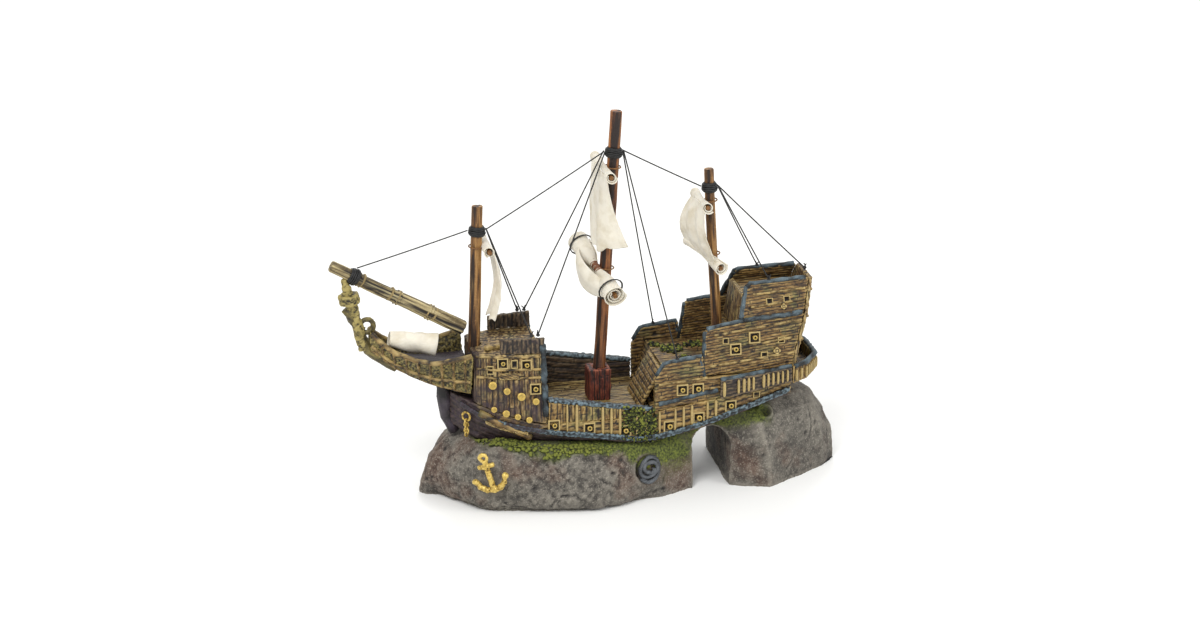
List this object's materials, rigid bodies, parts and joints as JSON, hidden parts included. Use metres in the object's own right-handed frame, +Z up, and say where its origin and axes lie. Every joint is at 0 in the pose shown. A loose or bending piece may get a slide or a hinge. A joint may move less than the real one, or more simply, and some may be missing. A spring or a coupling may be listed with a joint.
{
  "type": "bubbling ornament",
  "caption": "Cast resin galleon shipwreck on a rock with a swim-through arch, wooden masts, cloth sails, thread rigging and an air stone inside.",
  "frame": {"origin": "centre of the object's bounding box in plan, on the plane that it rests on", "axes": "+Z up, +X towards the stern, -X towards the bow, -Y the port side that faces the viewer"},
  "size_m": [0.2603, 0.088, 0.1942],
  "materials": {
    "resin_rock": "matte cast and painted resin rock",
    "air_plastic": "clear moulded",
    "air_stone": "porous sintered",
    "dark_plastic": "moulded",
    "wood_resin": "cast resin planking, dry-brushed",
    "dark_resin": "cast resin, dark wash",
    "slate_resin": "cast resin, blue-grey paint",
    "olive_resin": "cast resin, olive paint",
    "gold_paint": "gold paint, dulled",
    "mast_wood": "stained dowel",
    "sail_cloth": "stiffened cotton",
    "black_thread": "waxed thread",
    "rope_resin": "cast resin rope",
    "moss": "flocked green"
  },
  "bodies": {
    "ship": {"rock_base": "resin_rock", "air_inlet": "air_plastic", "air_tube": "air_plastic", "stone_clip": "dark_plastic", "hull": "wood_resin", "waist_deck": "wood_resin", "port_waist_bulwark": "wood_resin", "forecastle": "wood_resin", "beak_port_side": "wood_resin", "beak_starboard_side": "wood_resin", "beak_keel": "wood_resin", "bowsprit": "wood_resin", "half_deck": "wood_resin", "boarding_ramp": "wood_resin", "port_tier_wall": "wood_resin", "starboard_tier_wall": "wood_resin", "port_quarter_wall": "wood_resin", "starboard_quarter_wall": "wood_resin", "quarterdeck": "wood_resin", "port_poop_wall": "wood_resin", "starboard_poop_wall": "wood_resin", "poop_deck": "wood_resin", "cabin_front": "wood_resin", "transom": "wood_resin", "port_gallery": "wood_resin", "starboard_gallery": "wood_resin", "stern_gallery": "wood_resin", "loose_planks": "wood_resin", "starboard_waist_bulwark": "dark_resin", "stem_post": "dark_resin", "forecastle_rail": "dark_resin", "wales": "slate_resin", "waist_rails": "slate_resin", "figurehead": "olive_resin", "port_cannons": "gold_paint", "starboard_cannons": "gold_paint", "anchor": "gold_paint", "anchor_chain": "gold_paint", "foremast": "mast_wood", "mainmast": "mast_wood", "mizzenmast": "mast_wood", "mast_step": "mast_wood", "sprit_sail": "sail_cloth", "lashings": "black_thread", "stays": "black_thread", "fore_shrouds": "black_thread", "main_shrouds": "black_thread", "mizzen_shrouds": "black_thread", "rope_coil": "rope_resin", "moss_clumps": "moss"},
    "fore_yard_set": {"fore_yard": "mast_wood", "fore_sail": "sail_cloth"},
    "main_top_yard_set": {"main_top_yard": "mast_wood", "main_topsail": "sail_cloth"},
    "main_yard_set": {"main_yard": "mast_wood", "main_course": "sail_cloth"},
    "mizzen_yard_set": {"mizzen_yards": "mast_wood", "mizzen_sail": "sail_cloth"},
    "bubbler": {"air_stone": "air_stone", "stone_stem": "air_plastic"}
  },
  "joints": [
    {"name": "stone_pull", "type": "slide", "parent": "ship", "child": "bubbler", "axis": [0, -1, 0], "range_m": [0, 0.01]},
    {"name": "fore_yard_swivel", "type": "hinge", "parent": "ship", "child": "fore_yard_set", "pos_m": [-0.0569, 0, 0.129], "axis": [0.04, 0, 0.9992], "range_deg": [-6, 6]},
    {"name": "main_top_swivel", "type": "hinge", "parent": "ship", "child": "main_top_yard_set", "pos_m": [0.01143, 0, 0.1655], "axis": [0.0646, 0, 0.9979], "range_deg": [-6, 6]},
    {"name": "main_yard_swivel", "type": "hinge", "parent": "ship", "child": "main_yard_set", "pos_m": [0.00807, 0, 0.1135], "axis": [0.0646, 0, 0.9979], "range_deg": [-6, 6]},
    {"name": "mizzen_yard_swivel", "type": "hinge", "parent": "ship", "child": "mizzen_yard_set", "pos_m": [0.06195, 0, 0.131], "axis": [-0.0639, 0, 0.998], "range_deg": [-6, 6]}
  ]
}
